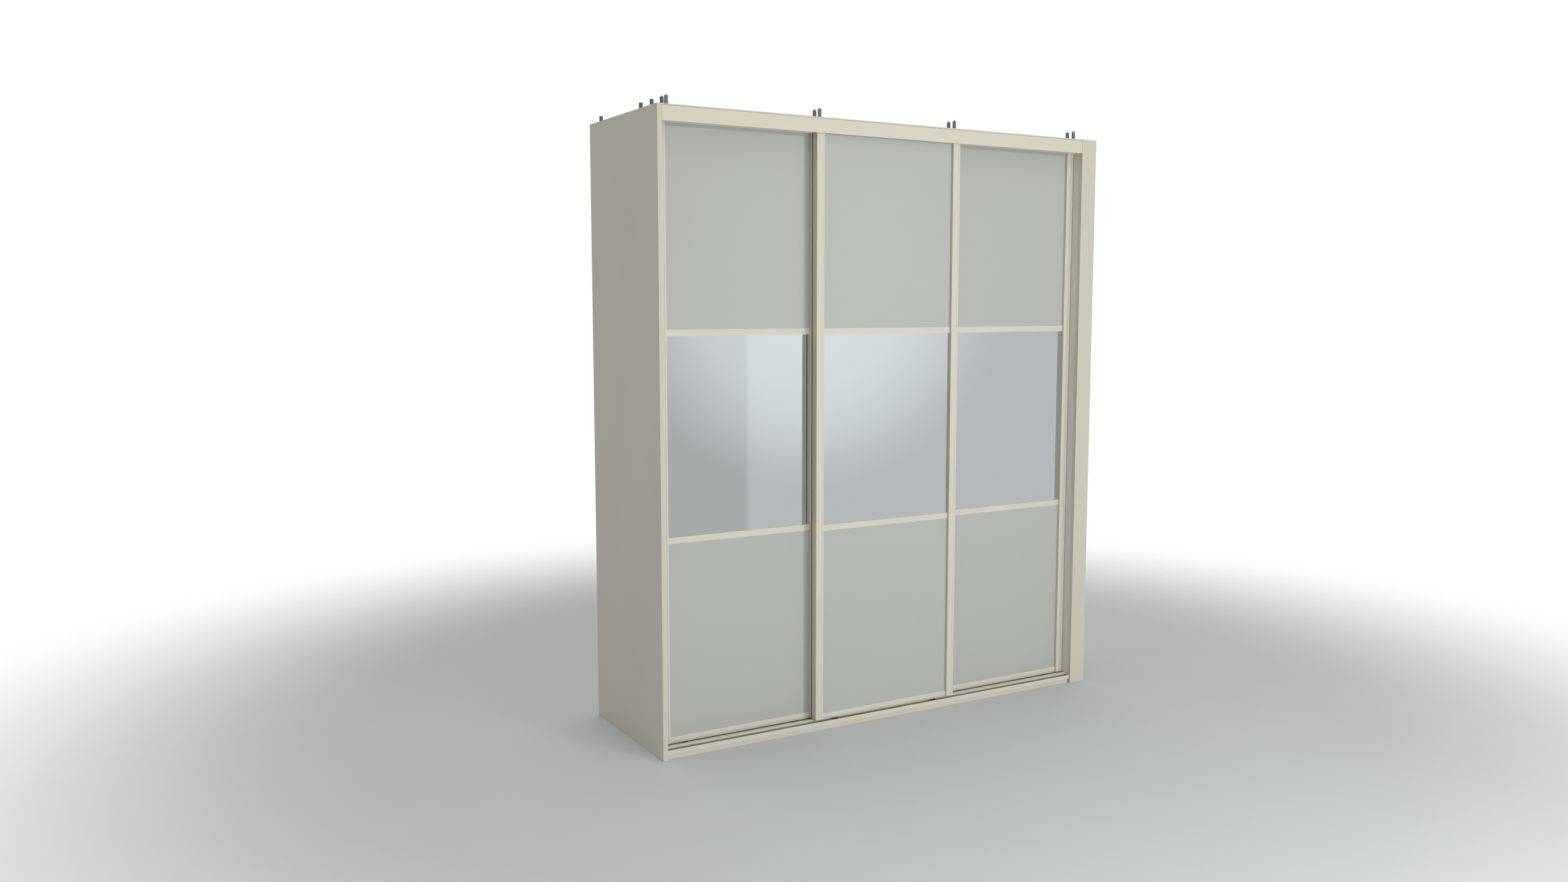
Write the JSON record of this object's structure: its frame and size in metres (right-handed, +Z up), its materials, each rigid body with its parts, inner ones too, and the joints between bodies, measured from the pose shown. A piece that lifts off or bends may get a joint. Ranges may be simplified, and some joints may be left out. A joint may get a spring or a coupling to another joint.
{
  "type": "sliding door wardrobe",
  "caption": "Wide fitted wardrobe with framed sliding doors of pale glass and mirror on a twin floor track, with end panel, filler post, shelves and hanging rails.",
  "frame": {"origin": "on the floor, in the middle of the overall width and depth", "axes": "+X to the right along the front, +Y back into the depth, +Z up; the doors face -Y"},
  "size_m": [2.018, 0.62, 2.363],
  "materials": {
    "cashmere_board": "smooth matt cashmere-coloured laminate on chipboard",
    "interior_board": "matt cashmere-coloured laminate on chipboard",
    "back_board": "matt laminate on thin board",
    "softwood": "planed pine",
    "cashmere_foil": "satin cashmere-coloured powder coat",
    "painted_glass": "clear float glass, back-painted pale grey-green",
    "mirror": "silvered glass",
    "chrome_tube": "polished chrome",
    "zinc_steel": "zinc plated",
    "black_steel": "black electrocoat on pressed steel",
    "grey_nylon": "moulded dark grey nylon",
    "white_nylon": "moulded white nylon",
    "black_nylon": "moulded black nylon"
  },
  "bodies": {
    "carcass": {"left_end_panel": "cashmere_board", "filler_post": "cashmere_board", "top_panel": "cashmere_board", "floor_liner": "cashmere_board", "right_side_panel": "interior_board", "left_divider": "interior_board", "right_divider": "interior_board", "shelves": "interior_board", "back_panels": "back_board", "filler_battens": "softwood", "fascia": "cashmere_foil", "bottom_track": "cashmere_foil", "top_track": "cashmere_foil", "hanging_rails": "chrome_tube", "rail_sockets": "chrome_tube", "shelf_pins": "zinc_steel", "track_screws": "zinc_steel", "ceiling_screws": "zinc_steel", "panel_screws": "zinc_steel", "ceiling_plugs": "grey_nylon"},
    "left_door": {"left_door_left_stile": "cashmere_foil", "left_door_right_stile": "cashmere_foil", "left_door_top_rail": "cashmere_foil", "left_door_bottom_rail": "cashmere_foil", "left_door_mid_rails": "cashmere_foil", "left_door_lower_glass": "painted_glass", "left_door_mirror": "mirror", "left_door_upper_glass": "painted_glass", "left_door_roller_carriers": "black_steel", "left_door_top_guides": "black_nylon", "left_door_frame_screws": "zinc_steel"},
    "left_door_left_wheel": {"left_door_left_wheel": "white_nylon"},
    "left_door_right_wheel": {"left_door_right_wheel": "white_nylon"},
    "middle_door": {"middle_door_left_stile": "cashmere_foil", "middle_door_right_stile": "cashmere_foil", "middle_door_top_rail": "cashmere_foil", "middle_door_bottom_rail": "cashmere_foil", "middle_door_mid_rails": "cashmere_foil", "middle_door_lower_glass": "painted_glass", "middle_door_mirror": "mirror", "middle_door_upper_glass": "painted_glass", "middle_door_roller_carriers": "black_steel", "middle_door_top_guides": "black_nylon", "middle_door_frame_screws": "zinc_steel"},
    "middle_door_left_wheel": {"middle_door_left_wheel": "white_nylon"},
    "middle_door_right_wheel": {"middle_door_right_wheel": "white_nylon"},
    "right_door": {"right_door_left_stile": "cashmere_foil", "right_door_right_stile": "cashmere_foil", "right_door_top_rail": "cashmere_foil", "right_door_bottom_rail": "cashmere_foil", "right_door_mid_rails": "cashmere_foil", "right_door_lower_glass": "painted_glass", "right_door_mirror": "mirror", "right_door_upper_glass": "painted_glass", "right_door_roller_carriers": "black_steel", "right_door_top_guides": "black_nylon", "right_door_frame_screws": "zinc_steel"},
    "right_door_left_wheel": {"right_door_left_wheel": "white_nylon"},
    "right_door_right_wheel": {"right_door_right_wheel": "white_nylon"}
  },
  "joints": [
    {"name": "left_door_slide", "type": "slide", "parent": "carcass", "child": "left_door", "axis": [1, 0, 0], "range_m": [0, 0.298]},
    {"name": "left_door_left_wheel_spin", "type": "hinge", "parent": "left_door", "child": "left_door_left_wheel", "pos_m": [-0.8945, -0.2429, 0.0353], "axis": [0, 1, 0], "continuous": true},
    {"name": "left_door_right_wheel_spin", "type": "hinge", "parent": "left_door", "child": "left_door_right_wheel", "pos_m": [-0.42317, -0.2429, 0.0353], "axis": [0, 1, 0], "continuous": true},
    {"name": "middle_door_slide", "type": "slide", "parent": "carcass", "child": "middle_door", "axis": [1, 0, 0], "range_m": [-0.6298, 0.6298]},
    {"name": "middle_door_left_wheel_spin", "type": "hinge", "parent": "middle_door", "child": "middle_door_left_wheel", "pos_m": [-0.26467, -0.2848, 0.0353], "axis": [0, 1, 0], "continuous": true},
    {"name": "middle_door_right_wheel_spin", "type": "hinge", "parent": "middle_door", "child": "middle_door_right_wheel", "pos_m": [0.20667, -0.2848, 0.0353], "axis": [0, 1, 0], "continuous": true},
    {"name": "right_door_slide", "type": "slide", "parent": "carcass", "child": "right_door", "axis": [1, 0, 0], "range_m": [-0.298, 0]},
    {"name": "right_door_left_wheel_spin", "type": "hinge", "parent": "right_door", "child": "right_door_left_wheel", "pos_m": [0.36517, -0.2429, 0.0353], "axis": [0, 1, 0], "continuous": true},
    {"name": "right_door_right_wheel_spin", "type": "hinge", "parent": "right_door", "child": "right_door_right_wheel", "pos_m": [0.8365, -0.2429, 0.0353], "axis": [0, 1, 0], "continuous": true}
  ],
  "couplings": [
    {"joint": "left_door_left_wheel_spin", "follows": "left_door_slide", "rad_per_m": 66.667},
    {"joint": "left_door_right_wheel_spin", "follows": "left_door_slide", "rad_per_m": 66.667},
    {"joint": "middle_door_left_wheel_spin", "follows": "middle_door_slide", "rad_per_m": 66.667},
    {"joint": "middle_door_right_wheel_spin", "follows": "middle_door_slide", "rad_per_m": 66.667},
    {"joint": "right_door_left_wheel_spin", "follows": "right_door_slide", "rad_per_m": 66.667},
    {"joint": "right_door_right_wheel_spin", "follows": "right_door_slide", "rad_per_m": 66.667}
  ]
}
